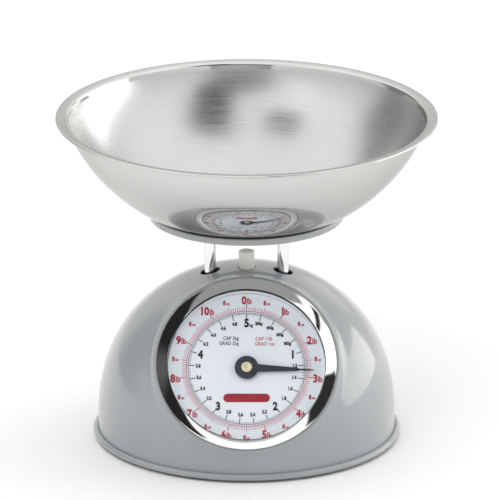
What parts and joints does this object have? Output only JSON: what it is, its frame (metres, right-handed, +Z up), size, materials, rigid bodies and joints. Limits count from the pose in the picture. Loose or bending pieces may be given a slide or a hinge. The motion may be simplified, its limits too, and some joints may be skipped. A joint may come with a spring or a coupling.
{
  "type": "kitchen scale",
  "caption": "Mechanical kitchen scale with a grey pressed steel dome body, a tilted round dial and a lift-off stainless steel bowl carried on two chrome posts.",
  "frame": {"origin": "on the worktop, under the centre of the dome and bowl", "axes": "+Z up along the posts, -Y towards the dial's reader, +X to the reader's right"},
  "size_m": [0.26, 0.26, 0.2273],
  "materials": {
    "grey_enamel": "glossy stoved enamel",
    "stainless_steel": "mirror polished stainless steel",
    "chrome": "bright chrome plate",
    "zinc_plate": "dull zinc plated steel",
    "spring_steel": "oiled spring wire",
    "brass": "turned brass",
    "dial_white": "satin printed white",
    "badge_red": "satin red",
    "needle_black": "satin blue-black",
    "cream_plastic": "semi-gloss moulded plastic",
    "clear_plastic": "clear polished acrylic",
    "rubber": "matt moulded rubber"
  },
  "bodies": {
    "root": {"dome_housing": "grey_enamel", "base_plate": "zinc_plate", "foot_1": "rubber", "foot_2": "rubber", "foot_3": "rubber", "foot_4": "rubber", "housing_screw_1": "zinc_plate", "housing_screw_2": "zinc_plate", "housing_screw_3": "zinc_plate", "chassis_leg_left": "zinc_plate", "chassis_leg_right": "zinc_plate", "chassis_bridge": "zinc_plate", "chassis_screw_left": "zinc_plate", "chassis_screw_right": "zinc_plate", "rear_upright_left": "zinc_plate", "rear_upright_right": "zinc_plate", "upright_screw_left": "zinc_plate", "upright_screw_right": "zinc_plate", "bezel_ring": "chrome", "lens": "clear_plastic", "dial_cup": "dial_white", "dial_plate": "dial_white", "dial_badge": "badge_red", "cup_stay_left": "zinc_plate", "cup_stay_right": "zinc_plate", "gear_bridge": "zinc_plate", "pinion_bush": "brass", "spring_left": "spring_steel", "spring_right": "spring_steel"},
    "carriage": {"platform": "grey_enamel", "platform_screw_left": "zinc_plate", "platform_screw_right": "zinc_plate", "post_left": "chrome", "post_right": "chrome", "post_nut_left": "zinc_plate", "post_nut_right": "zinc_plate", "lower_link_pin_left": "zinc_plate", "lower_link_pin_right": "zinc_plate", "upper_link_pin_left": "zinc_plate", "upper_link_pin_right": "zinc_plate", "yoke": "zinc_plate", "drive_arm": "zinc_plate", "drive_pin": "zinc_plate"},
    "rack": {"rack": "zinc_plate"},
    "pointer": {"pinion_shaft": "zinc_plate", "pointer": "needle_black", "pointer_cap": "brass"},
    "lower_lever": {"lower_lever_left": "zinc_plate", "lower_lever_right": "zinc_plate", "lower_lever_shaft": "zinc_plate"},
    "upper_lever": {"upper_lever_left": "zinc_plate", "upper_lever_right": "zinc_plate", "upper_lever_shaft": "zinc_plate"},
    "knob": {"zero_knob": "cream_plastic", "zero_screw": "zinc_plate"},
    "anchor": {"spring_anchor": "zinc_plate"},
    "bowl": {"bowl": "stainless_steel"}
  },
  "joints": [
    {"name": "platform_slide", "type": "slide", "parent": "root", "child": "carriage", "axis": [0, 0, -1], "range_m": [-0.00405, 0.01175], "stiffness_N_per_m": 3104, "springref_m": -0.0066, "deforming": ["spring_left", "spring_right"]},
    {"name": "rack_slide", "type": "slide", "parent": "root", "child": "rack", "axis": [0, -0.606, -0.7955], "range_m": [-0.00323, 0.00936]},
    {"name": "pointer_spin", "type": "hinge", "parent": "root", "child": "pointer", "pos_m": [0, -0.064, 0.0721], "axis": [0, 0.7955, -0.606], "range_deg": [-92.6, 268.3]},
    {"name": "lower_lever_swing", "type": "hinge", "parent": "root", "child": "lower_lever", "pos_m": [0, 0.045, 0.054], "axis": [1, 0, 0], "range_deg": [-5.3, 15.1]},
    {"name": "upper_lever_swing", "type": "hinge", "parent": "root", "child": "upper_lever", "pos_m": [0, 0.045, 0.096], "axis": [1, 0, 0], "range_deg": [-5.3, 15.1]},
    {"name": "anchor_slide", "type": "slide", "parent": "root", "child": "anchor", "axis": [0, 0, 1], "range_m": [-0.0008, 0.0008]},
    {"name": "knob_turn", "type": "hinge", "parent": "root", "child": "knob", "pos_m": [0, 0, 0.12], "axis": [0, 0, 1], "range_deg": [-361, 361]},
    {"name": "bowl_lift", "type": "slide", "parent": "carriage", "child": "bowl", "axis": [0, 0, 1], "range_m": [0, 0.12]}
  ],
  "couplings": [
    {"joint": "rack_slide", "follows": "platform_slide", "ratio": 0.79547},
    {"joint": "pointer_spin", "follows": "platform_slide", "rad_per_m": 397.74},
    {"joint": "lower_lever_swing", "follows": "platform_slide", "rad_per_m": 22.222},
    {"joint": "upper_lever_swing", "follows": "platform_slide", "rad_per_m": 22.222},
    {"joint": "knob_turn", "follows": "anchor_slide", "rad_per_m": 7854}
  ]
}
